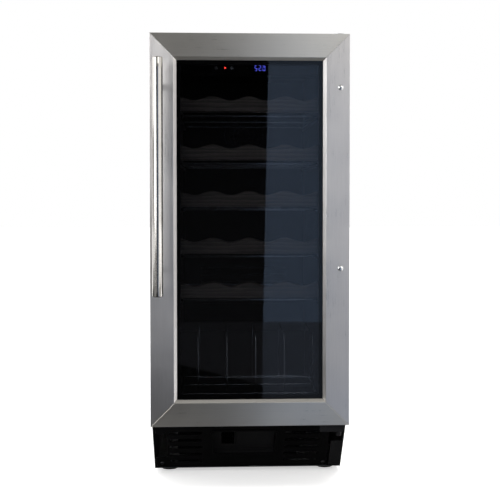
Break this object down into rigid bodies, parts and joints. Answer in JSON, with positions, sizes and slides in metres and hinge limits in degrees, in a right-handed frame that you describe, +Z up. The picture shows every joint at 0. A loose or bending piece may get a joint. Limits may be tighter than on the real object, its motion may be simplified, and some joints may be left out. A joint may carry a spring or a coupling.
{
  "type": "wine cooler",
  "caption": "Narrow under-counter wine cooler: black cabinet, right-hung tinted glass door in a mitred stainless frame with a tall bar handle, sliding scalloped bottle shelves.",
  "frame": {"origin": "middle of the footprint (handle included) on the floor under the levelling feet", "axes": "+Z up, front of the cooler and its handle towards -Y, +X to the right seen from the front (hinge side)"},
  "size_m": [0.376, 0.594, 0.871],
  "materials": {
    "stainless": "satin, brushed along each member",
    "handle_steel": "fine turned satin, nearly polished",
    "cabinet_paint": "fine textured black powder coat",
    "zinc_steel": "zinc coated sheet",
    "black_plastic": "fine spark texture",
    "liner_plastic": "smooth satin",
    "tinted_glass": "clear gloss, dark grey tint",
    "inner_pane": "clear gloss, light grey tint",
    "spacer": "satin black",
    "gasket": "matt",
    "dark_wood": "dark stained beech, satin lacquer",
    "chrome_wire": "bright plated wire",
    "foam": "rigid cellular foam",
    "display": "gloss smoked lens",
    "indicator": "gloss red lens",
    "button_plastic": "satin",
    "light_lens": "frosted",
    "coil_metal": "mill finish fins",
    "machine_black": "gloss black enamel",
    "box_plastic": "satin light grey"
  },
  "bodies": {
    "cabinet": {"left_side_panel": "cabinet_paint", "right_side_panel": "cabinet_paint", "top_panel": "cabinet_paint", "back_panel": "zinc_steel", "rear_grille": "zinc_steel", "machine_bulkhead": "zinc_steel", "base_pan": "zinc_steel", "inner_liner": "liner_plastic", "foam_insulation": "foam", "control_housing": "black_plastic", "display_lens": "display", "indicator_led": "indicator", "interior_light": "light_lens", "evaporator_cover": "liner_plastic", "evaporator_coil": "coil_metal", "compressor": "machine_black", "drip_tray": "black_plastic", "condenser_coil": "machine_black", "condenser_fan_motor": "machine_black", "control_box": "box_plastic", "cord_gland": "black_plastic", "toe_grille": "black_plastic", "access_cover": "black_plastic", "grille_screw_left": "machine_black", "grille_screw_right": "machine_black", "upper_hinge": "zinc_steel", "lower_hinge": "machine_black", "bottom_rack": "chrome_wire"},
    "door": {"frame_top": "stainless", "frame_bottom": "stainless", "frame_left": "stainless", "frame_right": "stainless", "outer_glass": "tinted_glass", "glass_spacer": "spacer", "inner_glass": "inner_pane", "door_inner_frame": "black_plastic", "door_gasket": "gasket", "handle_bar": "handle_steel", "handle_post_upper": "handle_steel", "handle_post_lower": "handle_steel", "hole_plug_upper": "handle_steel", "hole_plug_lower": "handle_steel"},
    "shelf_1": {"shelf_1_rack": "chrome_wire", "shelf_1_front": "dark_wood"},
    "shelf_2": {"shelf_2_rack": "chrome_wire", "shelf_2_front": "dark_wood"},
    "shelf_3": {"shelf_3_rack": "chrome_wire", "shelf_3_front": "dark_wood"},
    "shelf_4": {"shelf_4_rack": "chrome_wire", "shelf_4_front": "dark_wood"},
    "shelf_5": {"shelf_5_rack": "chrome_wire", "shelf_5_front": "dark_wood"},
    "left_button": {"button_left": "button_plastic"},
    "right_button": {"button_right": "button_plastic"},
    "evaporator_fan_wheel": {"evaporator_fan": "black_plastic"},
    "condenser_fan_wheel": {"condenser_fan": "black_plastic"},
    "foot_front_left_leg": {"foot_front_left": "black_plastic"},
    "foot_front_right_leg": {"foot_front_right": "black_plastic"},
    "foot_rear_left_leg": {"foot_rear_left": "black_plastic"},
    "foot_rear_right_leg": {"foot_rear_right": "black_plastic"}
  },
  "joints": [
    {"name": "door_hinge", "type": "hinge", "parent": "cabinet", "child": "door", "pos_m": [0.17, -0.222, 0.5], "axis": [0, 0, 1], "range_deg": [0, 110]},
    {"name": "shelf_1_slide", "type": "slide", "parent": "cabinet", "child": "shelf_1", "axis": [0, -1, 0], "range_m": [0, 0.24]},
    {"name": "shelf_2_slide", "type": "slide", "parent": "cabinet", "child": "shelf_2", "axis": [0, -1, 0], "range_m": [0, 0.24]},
    {"name": "shelf_3_slide", "type": "slide", "parent": "cabinet", "child": "shelf_3", "axis": [0, -1, 0], "range_m": [0, 0.24]},
    {"name": "shelf_4_slide", "type": "slide", "parent": "cabinet", "child": "shelf_4", "axis": [0, -1, 0], "range_m": [0, 0.24]},
    {"name": "shelf_5_slide", "type": "slide", "parent": "cabinet", "child": "shelf_5", "axis": [0, -1, 0], "range_m": [0, 0.24]},
    {"name": "left_button_press", "type": "slide", "parent": "cabinet", "child": "left_button", "axis": [0, 1, 0], "range_m": [0, 0.001], "stiffness_N_per_m": 900, "springref_m": -0.0004},
    {"name": "right_button_press", "type": "slide", "parent": "cabinet", "child": "right_button", "axis": [0, 1, 0], "range_m": [0, 0.001], "stiffness_N_per_m": 900, "springref_m": -0.0004},
    {"name": "evaporator_fan_spin", "type": "hinge", "parent": "cabinet", "child": "evaporator_fan_wheel", "pos_m": [0, 0.218, 0.7], "axis": [0, 1, 0], "continuous": true},
    {"name": "condenser_fan_spin", "type": "hinge", "parent": "cabinet", "child": "condenser_fan_wheel", "pos_m": [0.08, -0.031, 0.068], "axis": [0, 1, 0], "continuous": true},
    {"name": "foot_front_left_screw", "type": "slide", "parent": "cabinet", "child": "foot_front_left_leg", "axis": [0, 0, -1], "range_m": [0, 0.012]},
    {"name": "foot_front_right_screw", "type": "slide", "parent": "cabinet", "child": "foot_front_right_leg", "axis": [0, 0, -1], "range_m": [0, 0.012]},
    {"name": "foot_rear_left_screw", "type": "slide", "parent": "cabinet", "child": "foot_rear_left_leg", "axis": [0, 0, -1], "range_m": [0, 0.012]},
    {"name": "foot_rear_right_screw", "type": "slide", "parent": "cabinet", "child": "foot_rear_right_leg", "axis": [0, 0, -1], "range_m": [0, 0.012]}
  ],
  "couplings": [
    {"joint": "shelf_1_slide", "follows": "door_hinge", "m_per_rad": 0.06},
    {"joint": "shelf_2_slide", "follows": "door_hinge", "m_per_rad": 0.06},
    {"joint": "shelf_3_slide", "follows": "door_hinge", "m_per_rad": 0.06},
    {"joint": "shelf_4_slide", "follows": "door_hinge", "m_per_rad": 0.06},
    {"joint": "shelf_5_slide", "follows": "door_hinge", "m_per_rad": 0.06}
  ]
}
